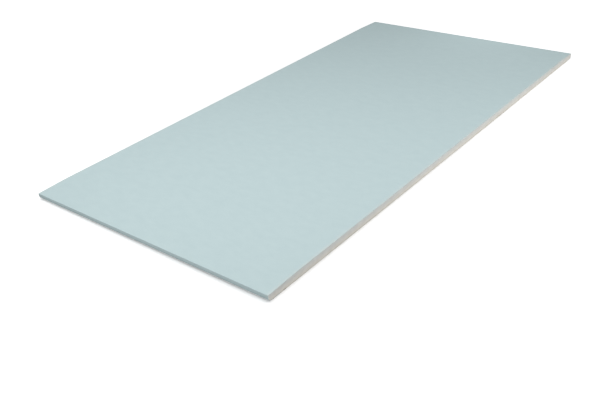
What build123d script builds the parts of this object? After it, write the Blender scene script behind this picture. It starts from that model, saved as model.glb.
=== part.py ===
from build123d import *

import math
import os

# Drywall sheet: a gypsum core cast between two papers, lying on its back with its face up.
# Millimetres. The origin is the centre of the back, +X runs from one bound edge to the other,
# +Y along those edges from one sawn edge to the other, and +Z out of the face.

# Sheet
WIDTH = 1200.0               # between the two bound edges
LENGTH = 600.0               # between the two sawn edges
THICKNESS = 15.0             # over both papers

# Papers
FACE_PAPER = 0.4             # paper on the face, round the bound edges and on the laps
BACK_PAPER = 0.4             # paper on the back

# Bound edges
TAPER = 70.0                 # width of the face's slope down to a bound edge, where joint filler goes
TAPER_DEPTH = 2.0            # how far that slope comes down
FACE_FOLD = 1.2              # radius of the creased fold below the slope, over the paper
EDGE_LAND = 4.0              # upright strip between that fold and the round on to the back
LAP = 28.0                   # how far the face paper is folded in over the back, from the edge

# Levels and reaches that follow from those sizes
EDGE_X = WIDTH / 2
LAP_UNDER = BACK_PAPER                       # outer side of the laps, level with the back paper's top
CORE_UNDER = BACK_PAPER                      # underside of the core between the laps
LAP_TOP = LAP_UNDER + FACE_PAPER             # where the core rests on a lap
LAP_END_X = EDGE_X - LAP
TAPER_X = EDGE_X - TAPER                     # where the slope begins
SLOPE = math.atan2(TAPER_DEPTH, TAPER)       # its angle
FOLD_X = EDGE_X - FACE_FOLD                  # centre of the fold between the slope and the land
FOLD_Z = THICKNESS - TAPER_DEPTH - FACE_FOLD * (1 - math.sin(SLOPE)) / math.cos(SLOPE)
BACK_ROUND = FOLD_Z - EDGE_LAND - LAP_UNDER  # radius of the round on to the back, over the paper
ROUND_X = EDGE_X - BACK_ROUND                # centre of that round
ROUND_Z = LAP_UNDER + BACK_ROUND


def edge_outline(inset):
    """Right half of the sheet's section, drawn from the middle of the face down the slope and round
    one bound edge to the end of the lap, at a depth of inset below the outside of the face paper."""
    face = THICKNESS - inset
    side = EDGE_X - inset
    under = LAP_UNDER + inset
    fold_radius = FACE_FOLD - inset
    slope_top = (TAPER_X - inset * math.tan(SLOPE / 2), face)
    slope_foot = (FOLD_X + fold_radius * math.sin(SLOPE), FOLD_Z + fold_radius * math.cos(SLOPE))
    flat = Line((0, face), slope_top)
    slope = Line(slope_top, slope_foot)
    fold = RadiusArc(slope_foot, (side, FOLD_Z), fold_radius)
    land = Line((side, FOLD_Z), (side, ROUND_Z))
    round_edge = RadiusArc((side, ROUND_Z), (ROUND_X, under), BACK_ROUND - inset)
    lap = Line((ROUND_X, under), (LAP_END_X, under))
    return [flat, slope, fold, land, round_edge, lap]


def sheet_of(lines):
    """Solid of a right half section, closed by the given lines, mirrored and carried from one sawn
    edge to the other."""
    half = Plane.XZ * make_face(lines)
    section = half + mirror(half, about=Plane.YZ)
    return extrude(section, amount=LENGTH / 2, dir=(0, 1, 0), both=True)


def gypsum_core():
    """Slab inside the face paper, with a step as deep as the paper where each lap lies on it."""
    outline = edge_outline(FACE_PAPER)
    step = Line((LAP_END_X, LAP_TOP), (LAP_END_X, CORE_UNDER))
    under = Line((LAP_END_X, CORE_UNDER), (0, CORE_UNDER))
    middle = Line((0, CORE_UNDER), (0, THICKNESS - FACE_PAPER))
    return sheet_of(outline + [step, under, middle])


def face_paper():
    """One paper over the face, round both bound edges and on to the back as two laps."""
    outside = edge_outline(0)
    inside = edge_outline(FACE_PAPER)
    lap_end = Line((LAP_END_X, LAP_UNDER), (LAP_END_X, LAP_TOP))
    middle = Line((0, THICKNESS - FACE_PAPER), (0, THICKNESS))
    return sheet_of(outside + [lap_end] + inside + [middle])


def back_paper():
    """Flat paper under the core and the laps, stopping where both bound edges begin to round."""
    lowest = (Align.CENTER, Align.CENTER, Align.MIN)
    return Box(2 * ROUND_X, LENGTH, BACK_PAPER, align=lowest)


NODES = {
    "gypsum_core": gypsum_core(),
    "face_paper": face_paper(),
    "back_paper": back_paper(),
}

os.makedirs("parts", exist_ok=True)
for name, solid in NODES.items():
    solid.label = name
    export_step(solid, f"parts/{name}.step")
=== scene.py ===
import math

import bpy
import numpy as np
from mathutils import Matrix, Vector


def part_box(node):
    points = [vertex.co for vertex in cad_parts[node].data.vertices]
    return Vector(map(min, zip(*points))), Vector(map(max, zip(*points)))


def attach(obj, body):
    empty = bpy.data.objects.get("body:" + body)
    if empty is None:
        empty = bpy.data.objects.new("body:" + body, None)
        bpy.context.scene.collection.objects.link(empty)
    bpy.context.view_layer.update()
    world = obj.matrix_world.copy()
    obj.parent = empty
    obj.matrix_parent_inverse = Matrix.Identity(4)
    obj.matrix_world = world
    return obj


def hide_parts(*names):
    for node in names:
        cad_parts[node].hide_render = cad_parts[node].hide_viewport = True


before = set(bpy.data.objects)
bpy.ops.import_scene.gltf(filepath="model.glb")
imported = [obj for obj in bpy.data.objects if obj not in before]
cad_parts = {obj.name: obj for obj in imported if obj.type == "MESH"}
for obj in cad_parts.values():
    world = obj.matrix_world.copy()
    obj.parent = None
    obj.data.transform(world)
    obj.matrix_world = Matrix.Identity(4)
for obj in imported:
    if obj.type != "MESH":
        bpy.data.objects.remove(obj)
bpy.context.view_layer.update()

# Sizes of the sheet in metres, read from the frame
MM = 0.001
face_low, face_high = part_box("face_paper")
core_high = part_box("gypsum_core")[1]
back_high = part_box("back_paper")[1]
EDGE_X = face_high.x                       # bound edges, at plus and minus this
SAWN_Y = face_high.y                       # sawn edges, at plus and minus this
FACE_Z = face_high.z                       # outside of the face paper
LAP_Z = face_low.z                         # outside of the laps, level with the back paper's top
FACE_PAPER = FACE_Z - core_high.z          # thickness of the face paper
BACK_EDGE_X = back_high.x                  # where the back paper stops

# Bound edges, as in the solids
TAPER = 70.0 * MM                          # slope of the face down to a bound edge
TAPER_DEPTH = 2.0 * MM                     # how far it comes down
FACE_FOLD = 1.2 * MM                       # creased fold below the slope
EDGE_LAND = 4.0 * MM                       # upright strip below the fold
LAP = 28.0 * MM                            # paper folded in over the back
TAPER_X = EDGE_X - TAPER
SLOPE = math.atan2(TAPER_DEPTH, TAPER)
FOLD_X = EDGE_X - FACE_FOLD
FOLD_Z = FACE_Z - TAPER_DEPTH - FACE_FOLD * (1 - math.sin(SLOPE)) / math.cos(SLOPE)
BACK_ROUND = FOLD_Z - EDGE_LAND - LAP_Z    # round on to the back
ROUND_X = EDGE_X - BACK_ROUND
ROUND_Z = LAP_Z + BACK_ROUND
LAP_END_X = EDGE_X - LAP

# Points of the meshes
CORE_COLUMN = 0.62 * MM                    # spacing of the core's columns along the sawn edges
CORE_ROWS = 24                             # rows up each sawn edge
CORE_FOLD_POINTS = 9                       # columns of the core round a fold
LAP_STEP = 0.02 * MM                       # from the end of a lap to the columns on both sides of it
PAPER_COLUMN = 1.5 * MM                    # spacing of the papers' points across the sheet
FOLD_POINTS = 11                           # points of the face paper round a fold
ROUND_POINTS = 19                          # points of the face paper round on to the back
LAP_POINTS = 13                            # points of the face paper along a lap
END_STEP = 0.5 * MM                        # first step of the papers inwards from a sawn edge
MIDDLE_STEP = 60 * MM                      # steps of the papers far from the sawn edges
END_STEPS = 12                             # number of steps that grow from the first size to the second
SHARP_ANGLE = math.radians(40)             # shading is smooth across smaller angles

# Relief of the sawn gypsum
GRIT_DEPTH = 0.07 * MM                     # mean depth of the rough grain
GRIT_SIZE = 1.9 * MM
MARK_DEPTH = 0.02 * MM                     # mean depth of the saw marks
MARK_SPACING = 5.5 * MM
MARK_LEAN = 0.35                           # how far a mark leans along the edge for each unit up
MARK_WANDER = 0.7                          # how far a mark strays, in spacings
WANDER_LENGTH = 60 * MM
WANDER_HEIGHT = 30 * MM
PORE_CELL = 2.0 * MM                       # one pore in each square of this side
PORE_DEPTH = 1.3 * MM                      # depth of a pore for each cell of its radius
PORE_LEAST = 0.12                          # radius of the smallest pore, in cells
PORE_MORE = 0.34                           # how much more the largest one has
CRUMB_DEPTH = 0.7 * MM
CRUMB_REACH = 1.3 * MM                     # how far from the papers crumbs are lost
CRUMB_LENGTH = 8 * MM
CRUMB_LEVEL = 0.35                         # noise above which crumbs are lost

# Fray of the sawn papers
TREMBLE_DEPTH = 0.14 * MM
TREMBLE_LENGTH = 3.3 * MM
TEAR_DEPTH = 2.4 * MM                      # depth of a tear for each unit of noise above the level
TEAR_LENGTH = 7 * MM
TEAR_LEVEL = 0.74                          # noise above which the paper is torn
FRAY_REACH = 0.8 * MM                      # how far inwards the fray bends the paper's edge

# Random draws
NOISE_CELLS = 256                          # random lattice, repeated past this many cells
MIDWAY = 0.5                               # place across the noise where it is read along a line
FRONT_SEED = 100                           # sawn gypsum at the front
REAR_SEED = 200                            # sawn gypsum at the rear
FACE_SEED = 300                            # fray of the face paper
BACK_SEED = 400                            # fray of the back paper
WANDER_DRAW = 5                            # steps of the seed that keep the draws of one detail apart
PORE_DRAW = 10
CRUMB_DRAW = 20
TEAR_DRAW = 9
REAR_DRAW = 50

# Colours of the finishes
BLUE_DEEP = (0.526, 0.656, 0.673)
BLUE_PALE = (0.552, 0.680, 0.695)
BLUE_FIBRE = (0.65, 0.75, 0.755)
BLUE_FLECK = (0.385, 0.51, 0.54)
DUST = (0.74, 0.74, 0.70)
DUST_REACH = 7 * MM                        # how far from the sawn edges dust lies
# Sawn gypsum's painted light: paler and creamier at the back than at the face, as light bouncing up from
# below
GREYER_AT_BACK = (0.780, 0.750, 0.682)
GREYER_AT_FACE = (0.690, 0.700, 0.678)
PALER_AT_BACK = (0.840, 0.815, 0.752)
PALER_AT_FACE = (0.750, 0.765, 0.745)
# Dark grey of the pinholes: painted shade inside them
PINHOLE_SHADE = (0.52, 0.51, 0.47)
BROWN_DEEP = (0.385, 0.360, 0.262)
BROWN_PALE = (0.430, 0.405, 0.298)
BROWN_PALE_FIBRE = (0.60, 0.57, 0.46)
BROWN_DARK_FIBRE = (0.20, 0.18, 0.13)
WHITE = (1, 1, 1, 1)

# Sockets of a mix node that mixes colours
MIX_SHARE = 0
MIX_FIRST = 6
MIX_SECOND = 7
MIX_RESULT = 2

# Studio
FLOOR_HALF = 8.0
FLOOR_DROP = 0.2 * MM                      # gap between the floor and the sheet
FLOOR_SEEN = (0.92, 0.92, 0.92)            # the floor's colour to the camera
FLOOR_BOUNCE = (0.5, 0.5, 0.5)             # the floor's colour to the light that it throws back
GLOW_NEAR = 0.3                            # the glow grows from this distance to the next
GLOW_FAR = 2.2
GLOW_LEAST = 0.22
GLOW_MOST = 0.95
WORLD_LEVEL = 0.3
KEY_FOOT = (-0.3, -0.18, 0.0)              # point on the floor below the key light
KEY_HEIGHT = 1.45

# Soft lights: name, place, point that it faces, side of its square and watts
SOFTBOXES = (
    ("key", (KEY_FOOT[0], KEY_FOOT[1], KEY_HEIGHT), KEY_FOOT, 1.3, 10.3),
    ("over_left", (-0.75, 0.4, 1.2), (-0.6, 0.3, 0), 0.9, 4.2),
    ("low_left", (-1.7, -0.3, 0.4), (-0.6, -0.1, 0), 0.8, 2.9),
    ("low_front", (0.35, -1.45, 0.35), (0.05, -0.3, 0), 0.6, 7.2),
    ("over_far_end", (0.68, -0.04, 0.2), (0.66, -0.04, 0), 0.2, 0.065),
    ("low_rear", (1.6, 2.4, 0.07), (0.2, 0.2, 0.01), 0.12, 16.0),
)

# Camera, from the outline of the sheet in the photograph
EYE = (-1.27298, -0.96290, 0.73182)
AZIMUTH = math.radians(-49.1589)
ELEVATION = math.radians(30.4106)
ROLL = -0.0828                             # radians
LENS = 45.908                              # focal length for the sensor's width, both in millimetres
SENSOR_WIDTH = 36.0


# Random surfaces

def value_noise(u, v, seed):
    """Random heights from -1 to 1 at whole-number points of the plane, blended between the four
    nearest by the curve 3t^2 - 2t^3 along u and along v."""
    heights = np.random.default_rng(seed).uniform(-1, 1, (NOISE_CELLS, NOISE_CELLS))
    cell_u = np.floor(u).astype(int)
    cell_v = np.floor(v).astype(int)
    part_u = u - cell_u
    part_v = v - cell_v
    blend_u = part_u * part_u * (3 - 2 * part_u)
    blend_v = part_v * part_v * (3 - 2 * part_v)
    low_u, high_u = cell_u % NOISE_CELLS, (cell_u + 1) % NOISE_CELLS
    low_v, high_v = cell_v % NOISE_CELLS, (cell_v + 1) % NOISE_CELLS
    low = heights[low_u, low_v] * (1 - blend_u) + heights[high_u, low_v] * blend_u
    high = heights[low_u, high_v] * (1 - blend_u) + heights[high_u, high_v] * blend_u
    return low * (1 - blend_v) + high * blend_v


def fractal_noise(u, v, seed, octaves=3):
    """Sum of value noises, each twice as fine and half as high as the one before."""
    total = np.zeros(np.broadcast(u, v).shape)
    for octave in range(octaves):
        scale = 2 ** octave
        total = total + value_noise(u * scale, v * scale, seed + octave) / scale
    return total


def pore_depth(u, v, seed):
    """Round bowls, one in each unit cell at a random place: a point has the depth r (1 - (d / r)^2) of the
    deepest bowl among the nine cells round it, where d is the distance from the bowl's centre and most
    radii r are small."""
    place_u, place_v, luck = np.random.default_rng(seed).uniform(0, 1, (3, NOISE_CELLS, NOISE_CELLS))
    radius = PORE_LEAST + PORE_MORE * luck ** 3
    cell_u = np.floor(u).astype(int)
    cell_v = np.floor(v).astype(int)
    depth = np.zeros(np.broadcast(u, v).shape)
    for step_u in (-1, 0, 1):
        for step_v in (-1, 0, 1):
            near_u = cell_u + step_u
            near_v = cell_v + step_v
            key = (near_u % NOISE_CELLS, near_v % NOISE_CELLS)
            distance = np.hypot(near_u + place_u[key] - u, near_v + place_v[key] - v)
            depth = np.maximum(depth, radius[key] - distance ** 2 / radius[key])
    return depth


# Meshes from arrays

def mesh_piece(name, points, faces, material):
    """Object at the origin whose mesh has these points, as an n by 3 array, and four-sided faces, as an
    m by 4 array of point numbers, shaded smooth except across sharp angles."""
    mesh = bpy.data.meshes.new(name)
    mesh.vertices.add(len(points))
    mesh.vertices.foreach_set("co", points.astype(np.float32).ravel())
    mesh.loops.add(faces.size)
    mesh.loops.foreach_set("vertex_index", faces.astype(np.int32).ravel())
    mesh.polygons.add(len(faces))
    mesh.polygons.foreach_set("loop_start", np.arange(0, faces.size, 4, dtype=np.int32))
    mesh.polygons.foreach_set("use_smooth", np.ones(len(faces), dtype=bool))
    mesh.update(calc_edges=True)
    mesh.validate()
    mesh.set_sharp_from_angle(angle=SHARP_ANGLE)
    mesh.materials.append(material)
    piece = bpy.data.objects.new(name, mesh)
    bpy.context.scene.collection.objects.link(piece)
    return piece


def carried_loop(name, x, y, z, material):
    """Closed piece from a loop carried along a path, one ring of points to a row of the arrays. Each ring
    runs anticlockwise seen from the start of the path, neighbouring rings are joined by four-sided faces,
    and both ends are closed by rungs between the first and second half of the ring."""
    points = np.stack(np.broadcast_arrays(x, y, z), axis=-1)
    rings, size = points.shape[:2]
    here = np.arange(rings - 1)[:, None] * size
    point = np.arange(size)[None, :]
    after = (point + 1) % size
    walls = np.stack([here + point, here + size + point, here + size + after, here + after], axis=-1)
    rung = np.arange(size // 2 - 1)
    first_end = np.stack([rung, rung + 1, size - 2 - rung, size - 1 - rung], axis=-1)
    last_end = (first_end + (rings - 1) * size)[:, ::-1]
    faces = np.concatenate([walls.reshape(-1, 4), first_end, last_end])
    return mesh_piece(name, points.reshape(-1, 3), faces, material)


def crowded(half, near_step, far_step, count):
    """Places from -half to half, close together at both ends: from each end inwards the steps grow evenly
    in ratio from near_step to far_step, and the middle is divided evenly."""
    ratio = (far_step / near_step) ** (1 / (count - 1))
    inwards = np.concatenate([[0], np.cumsum(near_step * ratio ** np.arange(count))])
    left = -half + inwards
    middle = np.linspace(left[-1], -left[-1], max(2, round(-2 * left[-1] / far_step)) + 1)
    return np.concatenate([left, middle[1:-1], -left[::-1]])


def arc(centre_x, centre_z, radius, start, stop, count):
    """Points of an arc as x and z, by equal turns from start to stop degrees, measured from straight up
    towards plus x."""
    turn = np.radians(np.linspace(start, stop, count))
    return centre_x + radius * np.sin(turn), centre_z + radius * np.cos(turn)


# Gypsum core

def core_columns():
    """Places along the sawn edges: evenly spaced under the face and its slopes, by equal turns round the
    fold, and two close together where each lap ends."""
    beyond, _ = arc(FOLD_X, FOLD_Z, FACE_FOLD - FACE_PAPER, math.degrees(SLOPE), 90, CORE_FOLD_POINTS)
    even = np.linspace(-beyond[0], beyond[0], round(2 * beyond[0] / CORE_COLUMN) + 1)[1:-1]
    lap_ends = np.array([LAP_END_X - LAP_STEP, LAP_END_X + LAP_STEP])
    return np.sort(np.concatenate([-beyond, even, beyond, -lap_ends, lap_ends]))


def core_heights(x):
    """Underside and top of the core at x, inside the paper: the top comes down the slope and rounds off
    with the fold, and the underside steps up by one paper over each lap and then rises with the round."""
    reach = np.abs(x)
    fold_radius = FACE_FOLD - FACE_PAPER
    past_crease = np.clip(reach - TAPER_X + FACE_PAPER * math.tan(SLOPE / 2), 0, None)
    past_fold = np.clip(reach - FOLD_X, 0, fold_radius)
    sloping = FACE_Z - FACE_PAPER - math.tan(SLOPE) * past_crease
    folded = FOLD_Z + np.sqrt(fold_radius ** 2 - past_fold ** 2)
    top = np.where(reach > FOLD_X + fold_radius * math.sin(SLOPE), folded, sloping)
    past_round = np.clip(reach - ROUND_X, 0, BACK_ROUND - FACE_PAPER)
    on_lap = ROUND_Z - np.sqrt((BACK_ROUND - FACE_PAPER) ** 2 - past_round ** 2)
    under = np.where(reach > LAP_END_X, on_lap, LAP_Z)
    return under, top


def sawn_depth(x, z, under, top, seed):
    """How far the sawn gypsum lies inside the plane of the cut: a rough grain, slanting saw marks as a
    sine, round pores of the aerated gypsum, and crumbs lost beside the papers."""
    grit = GRIT_DEPTH * (1 + fractal_noise(x / GRIT_SIZE, z / GRIT_SIZE, seed))
    wander = MARK_WANDER * value_noise(x / WANDER_LENGTH, z / WANDER_HEIGHT, seed + WANDER_DRAW)
    slant = (x + MARK_LEAN * z) / MARK_SPACING + wander
    marks = MARK_DEPTH * (1 + np.sin(2 * math.pi * slant))
    pores = PORE_DEPTH * pore_depth(x / PORE_CELL, z / PORE_CELL, seed + PORE_DRAW)
    from_paper = np.minimum(z - under, top - z) / CRUMB_REACH
    lost = np.clip(fractal_noise(x / CRUMB_LENGTH, MIDWAY, seed + CRUMB_DRAW) - CRUMB_LEVEL, 0, 1)
    crumbs = CRUMB_DEPTH * lost * np.exp(-from_paper ** 2)
    return grit + marks + pores + crumbs


def gypsum_core(material):
    """Loops in upright planes across the sheet, carried along the sawn edges: each loop runs up one sawn
    face, over the top, down the other sawn face and back underneath. The rows lie midway between even
    places and places on a cosine, so they are closer beside the papers."""
    x = core_columns()[:, None]
    under, top = core_heights(x)
    even = np.linspace(0, 1, CORE_ROWS)
    share = 0.5 * even + 0.5 * (0.5 - 0.5 * np.cos(math.pi * even))
    z = under + share * (top - under)
    front = -SAWN_Y + sawn_depth(x, z, under, top, FRONT_SEED)
    rear = SAWN_Y - sawn_depth(x, z, under, top, REAR_SEED)
    loop_y = np.concatenate([front, rear[:, ::-1]], axis=1)
    loop_z = np.concatenate([z, z[:, ::-1]], axis=1)
    return carried_loop("sawn_gypsum_core", x, loop_y, loop_z, material)


# Papers

def wrap_line(inset):
    """Half of the face paper's line, as x and z, from the middle of the face down the slope and over the
    fold, the land and the round to the end of the lap, at a depth of inset inside the paper."""
    face = FACE_Z - inset
    crease_x = TAPER_X - inset * math.tan(SLOPE / 2)
    fold_x, fold_z = arc(FOLD_X, FOLD_Z, FACE_FOLD - inset, math.degrees(SLOPE), 90, FOLD_POINTS)
    round_x, round_z = arc(ROUND_X, ROUND_Z, BACK_ROUND - inset, 90, 180, ROUND_POINTS)
    flat = np.linspace(0, crease_x, round(TAPER_X / PAPER_COLUMN) + 1)
    down = np.linspace(0, 1, round(TAPER / PAPER_COLUMN) + 1)[1:-1]
    slope_x = crease_x + down * (fold_x[0] - crease_x)
    slope_z = face + down * (fold_z[0] - face)
    lap = np.linspace(ROUND_X, LAP_END_X, LAP_POINTS)
    x = np.concatenate([flat, slope_x, fold_x, round_x, lap[1:]])
    z = np.concatenate([flat * 0 + face, slope_z, fold_z, round_z, lap[1:] * 0 + LAP_Z + inset])
    return x, z


def both_halves(x, z):
    """The line of one half and its mirror image, from the far end of the mirror image to the end of the
    half, with the middle point once."""
    return np.concatenate([-x[:0:-1], x]), np.concatenate([z[:0:-1], z])


def sawn_fray(run, seed):
    """How far the sawn paper stands out of the straight cut at a length run along its line: a fine tremble,
    and now and then a short tear inwards."""
    tremble = TREMBLE_DEPTH * fractal_noise(run / TREMBLE_LENGTH, MIDWAY, seed)
    tear = np.clip(value_noise(run / TEAR_LENGTH, MIDWAY, seed + TEAR_DRAW) - TEAR_LEVEL, 0, 1)
    return tremble - TEAR_DEPTH * tear


def paper_shell(name, outside, inside, seed, material):
    """Thin closed shell: an outside and an inside line across the sheet, joined into one loop and carried
    from sawn edge to sawn edge. The outside runs anticlockwise seen from the front. The fray moves the ends,
    and fades inwards as the exponential of minus the square of the distance."""
    line_x, line_z = outside
    step = np.hypot(np.diff(line_x), np.diff(line_z))
    run = np.concatenate([[0], np.cumsum(step)])
    run = np.concatenate([run, run[::-1]])
    loop_x = np.concatenate([line_x, inside[0][::-1]])
    loop_z = np.concatenate([line_z, inside[1][::-1]])
    station = crowded(SAWN_Y, END_STEP, MIDDLE_STEP, END_STEPS)[:, None]
    near_end = np.exp(-((SAWN_Y - np.abs(station)) / FRAY_REACH) ** 2)
    fray = np.where(station < 0, -sawn_fray(run, seed), sawn_fray(run, seed + REAR_DRAW))
    return carried_loop(name, loop_x, station + near_end * fray, loop_z, material)


def face_paper(material):
    """The face paper's shell, from the end of one lap over the face to the end of the other."""
    outside_x, outside_z = both_halves(*wrap_line(0))
    inside_x, inside_z = both_halves(*wrap_line(FACE_PAPER))
    outside = (outside_x[::-1], outside_z[::-1])
    inside = (inside_x[::-1], inside_z[::-1])
    return paper_shell("blue_face_paper", outside, inside, FACE_SEED, material)


def back_paper(material):
    """The back paper's shell: a flat line under the back, and one on top of it."""
    x = np.linspace(-BACK_EDGE_X, BACK_EDGE_X, round(2 * BACK_EDGE_X / PAPER_COLUMN) + 1)
    return paper_shell("brown_back_paper", (x, x * 0), (x, x * 0 + LAP_Z), BACK_SEED, material)


# Materials

def new_material(name, roughness, specular):
    """Material with one shader of a plain roughness and specular level; returns both."""
    material = bpy.data.materials.new(name)
    material.use_nodes = True
    shader = material.node_tree.nodes["Principled BSDF"]
    shader.inputs["Roughness"].default_value = roughness
    shader.inputs["Specular IOR Level"].default_value = specular
    return material, shader


def linked(tree, kind, *sources, **settings):
    """New node of a kind with its settings, whose first inputs take these values or outputs."""
    node = tree.nodes.new(kind)
    for key, value in settings.items():
        setattr(node, key, value)
    for socket, source in zip(node.inputs, sources):
        if isinstance(source, bpy.types.NodeSocket):
            tree.links.new(source, socket)
        else:
            socket.default_value = source
    return node


def place_on(tree):
    """The place on the piece, by its own axes."""
    return tree.nodes.new("ShaderNodeTexCoord").outputs["Object"]


def grain(tree, cells, detail=2.0):
    """Noise from 0 to 1 over the piece, with this many cells a metre along x, y and z."""
    spread = linked(tree, "ShaderNodeVectorMath", place_on(tree), cells, operation="MULTIPLY").outputs[0]
    noise = linked(tree, "ShaderNodeTexNoise", spread)
    noise.inputs["Scale"].default_value = 1.0
    noise.inputs["Detail"].default_value = detail
    return noise.outputs["Fac"]


def ramp(tree, value, low, high, start, stop):
    """Value from low to high turned into start to stop, and held there beyond both ends."""
    return linked(tree, "ShaderNodeMapRange", value, low, high, start, stop).outputs[0]


def speckle(tree, cells, low, high, most=1.0, detail=2.0):
    """Share that grows from 0 to most where the noise of such a grain goes from low to high."""
    return ramp(tree, grain(tree, cells, detail), low, high, 0.0, most)


def blend(tree, share, first, second):
    """Colour between two colours, by a share from 0 to 1."""
    node = linked(tree, "ShaderNodeMix", data_type="RGBA")
    for number, source in ((MIX_SHARE, share), (MIX_FIRST, first), (MIX_SECOND, second)):
        if isinstance(source, bpy.types.NodeSocket):
            tree.links.new(source, node.inputs[number])
        else:
            node.inputs[number].default_value = (*source, 1)
    return node.outputs[MIX_RESULT]


def near_sawn_edge(tree, reach):
    """Share from 0, further than reach from the sawn edges, to 1 at them."""
    across = linked(tree, "ShaderNodeSeparateXYZ", place_on(tree)).outputs["Y"]
    distance = linked(tree, "ShaderNodeMath", across, operation="ABSOLUTE").outputs[0]
    return ramp(tree, distance, SAWN_Y - reach, SAWN_Y, 0.0, 1.0)


def coat(tree, shader, colour, cloud, smoothest, roughest):
    """Gives the shader its colour, and a roughness that goes from smoothest to roughest with the clouds."""
    tree.links.new(colour, shader.inputs["Base Color"])
    tree.links.new(ramp(tree, cloud, 0.0, 1.0, smoothest, roughest), shader.inputs["Roughness"])


def emboss(tree, shader, height, depth):
    """Fine relief of a depth in metres, from a height between 0 and 1."""
    bump = tree.nodes.new("ShaderNodeBump")
    bump.inputs["Distance"].default_value = depth
    tree.links.new(height, bump.inputs["Height"])
    tree.links.new(bump.outputs["Normal"], shader.inputs["Normal"])


def pale_blue_paper():
    """Smooth board paper: cloudy pale blue, fine fibres along the bound edges, and a breath of gypsum dust
    beside the sawn edges."""
    material, shader = new_material("pale_blue_paper", roughness=0.8, specular=0.2)
    tree = material.node_tree
    cloud = speckle(tree, cells=(70, 35, 70), low=0.3, high=0.7, detail=3.0)
    colour = blend(tree, cloud, BLUE_DEEP, BLUE_PALE)
    fibre = speckle(tree, cells=(2600, 300, 2600), low=0.56, high=0.75, most=0.38)
    colour = blend(tree, fibre, colour, BLUE_FIBRE)
    fleck = speckle(tree, cells=(760, 210, 760), low=0.66, high=0.76, most=0.25, detail=3.0)
    colour = blend(tree, fleck, colour, BLUE_FLECK)
    patch = speckle(tree, cells=(160, 160, 160), low=0.3, high=0.75, most=0.45)
    beside_cut = near_sawn_edge(tree, DUST_REACH)
    dust = linked(tree, "ShaderNodeMath", beside_cut, patch, operation="MULTIPLY").outputs[0]
    colour = blend(tree, dust, colour, DUST)
    coat(tree, shader, colour, cloud, smoothest=0.74, roughest=0.86)
    emboss(tree, shader, grain(tree, cells=(1500, 500, 1500), detail=4.0), depth=0.05 * MM)
    return material


def sawn_gypsum():
    """Chalky cut gypsum: off-white with faint clouds, pinholes darkened by painted shade and a gritty
    relief, and painted light bouncing up from below, which makes it paler and creamier towards the back."""
    material, shader = new_material("sawn_gypsum", roughness=0.95, specular=0.15)
    tree = material.node_tree
    cloud = speckle(tree, cells=(90, 90, 140), low=0.3, high=0.7, detail=3.0)
    height = linked(tree, "ShaderNodeSeparateXYZ", place_on(tree)).outputs["Z"]
    # painted light bouncing up from below: paler and creamier towards the back, greyer towards the face
    painted_shade_toward_face = ramp(tree, height, 0.2 * FACE_Z, 0.8 * FACE_Z, 0.0, 1.0)
    greyer = blend(tree, painted_shade_toward_face, GREYER_AT_BACK, GREYER_AT_FACE)
    paler = blend(tree, painted_shade_toward_face, PALER_AT_BACK, PALER_AT_FACE)
    colour = blend(tree, cloud, greyer, paler)
    # pinholes, shown as specks of painted shade
    pinhole_shade = speckle(tree, cells=(1300, 1300, 1300), low=0.60, high=0.72, most=0.45, detail=3.0)
    colour = blend(tree, pinhole_shade, colour, PINHOLE_SHADE)
    coat(tree, shader, colour, cloud, smoothest=0.90, roughest=0.97)
    emboss(tree, shader, grain(tree, cells=(1500, 1500, 1500), detail=5.0), depth=0.16 * MM)
    return material


def brown_grey_paper():
    """Rough recycled paper: mottled brown-grey, with pale and dark fibres along the bound edges."""
    material, shader = new_material("brown_grey_paper", roughness=0.9, specular=0.2)
    tree = material.node_tree
    cloud = speckle(tree, cells=(260, 130, 260), low=0.3, high=0.7, detail=4.0)
    colour = blend(tree, cloud, BROWN_DEEP, BROWN_PALE)
    pale = speckle(tree, cells=(1900, 260, 1900), low=0.58, high=0.74, most=0.5)
    colour = blend(tree, pale, colour, BROWN_PALE_FIBRE)
    dark = speckle(tree, cells=(620, 170, 620), low=0.62, high=0.72, most=0.6, detail=3.0)
    colour = blend(tree, dark, colour, BROWN_DARK_FIBRE)
    coat(tree, shader, colour, cloud, smoothest=0.84, roughest=0.95)
    emboss(tree, shader, grain(tree, cells=(1000, 350, 1000), detail=4.0), depth=0.05 * MM)
    return material


# Stage, lights and camera

def background_ray(tree):
    """1 for rays that show the background, straight from the camera or by a gloss or a clear body, and
    0 for the others."""
    path = tree.nodes.new("ShaderNodeLightPath").outputs
    seen = path["Is Camera Ray"]
    for kind in ("Is Glossy Ray", "Is Transmission Ray"):
        seen = linked(tree, "ShaderNodeMath", seen, path[kind], operation="MAXIMUM").outputs[0]
    return seen


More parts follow.
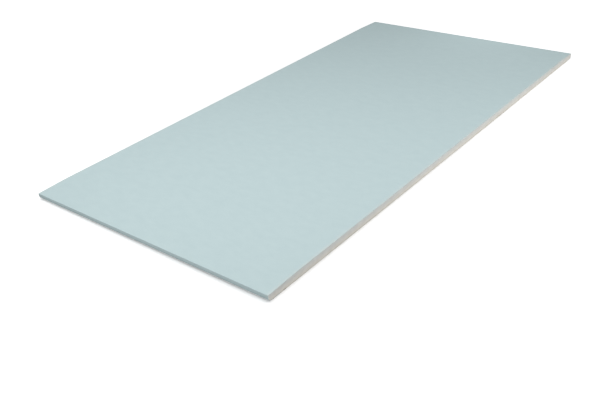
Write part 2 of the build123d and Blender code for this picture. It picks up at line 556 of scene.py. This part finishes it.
def white_floor():
    """Wide flat floor, white where the sheet doesn't shade it, which throws little light back up: a glow
    that lights nothing grows with the distance from the foot of the key light, as that light fades."""
    half = FLOOR_HALF
    corners = np.array([[-half, -half, 0], [half, -half, 0], [half, half, 0], [-half, half, 0]])
    material, shader = new_material("white_floor", roughness=0.9, specular=0.0)
    tree = material.node_tree
    seen = background_ray(tree)
    tree.links.new(blend(tree, seen, FLOOR_BOUNCE, FLOOR_SEEN), shader.inputs["Base Color"])
    from_foot = linked(tree, "ShaderNodeVectorMath", place_on(tree), KEY_FOOT, operation="DISTANCE")
    glow = ramp(tree, from_foot.outputs["Value"], GLOW_NEAR, GLOW_FAR, GLOW_LEAST, GLOW_MOST)
    strength = linked(tree, "ShaderNodeMath", glow, seen, operation="MULTIPLY").outputs[0]
    shader.inputs["Emission Color"].default_value = WHITE
    tree.links.new(strength, shader.inputs["Emission Strength"])
    floor = mesh_piece("floor", corners - [0, 0, FLOOR_DROP], np.array([[0, 1, 2, 3]]), material)


def white_world(level):
    """Even light of the given level from all round, which is plain white as a background."""
    world = bpy.data.worlds.new("white_world")
    world.use_nodes = True
    tree = world.node_tree
    strength = ramp(tree, background_ray(tree), 0.0, 1.0, level, 1.0)
    tree.nodes["Background"].inputs["Color"].default_value = WHITE
    tree.links.new(strength, tree.nodes["Background"].inputs["Strength"])
    bpy.context.scene.world = world


def softbox(name, place, aim, size, watts):
    """Square soft light at a place, turned to face the aim."""
    light = bpy.data.lights.new(name, "AREA")
    light.size = size
    light.energy = watts
    lamp = bpy.data.objects.new(name, light)
    lamp.location = place
    lamp.rotation_euler = (Vector(aim) - Vector(place)).to_track_quat("-Z", "Y").to_euler()
    bpy.context.scene.collection.objects.link(lamp)


def photo_camera():
    """Camera at the photograph's eye point, turned by azimuth and elevation and then rolled about its
    view."""
    ahead = math.cos(ELEVATION)
    back = Vector((math.sin(AZIMUTH) * ahead, -math.cos(AZIMUTH) * ahead, math.sin(ELEVATION)))
    level = Vector((math.cos(AZIMUTH), math.sin(AZIMUTH), 0))
    upright = back.cross(level)
    right = math.cos(ROLL) * level + math.sin(ROLL) * upright
    up = back.cross(right)
    camera = bpy.data.objects.new("camera", bpy.data.cameras.new("camera"))
    camera.data.lens = LENS
    camera.data.sensor_width = SENSOR_WIDTH
    turned = Matrix((right, up, back)).transposed().to_4x4()
    camera.matrix_world = Matrix.Translation(Vector(EYE)) @ turned
    bpy.context.scene.collection.objects.link(camera)
    bpy.context.scene.camera = camera


# Assembly

pieces = (
    (gypsum_core(sawn_gypsum()), "gypsum_core", "gypsum"),
    (face_paper(pale_blue_paper()), "face_paper", "face_paper"),
    (back_paper(brown_grey_paper()), "back_paper", "back_paper"),
)
for piece, node, slot in pieces:
    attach(piece, "root")
    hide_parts(node)

white_floor()
white_world(WORLD_LEVEL)
for light in SOFTBOXES:
    softbox(*light)
photo_camera()
bpy.context.scene.view_settings.view_transform = "Standard"
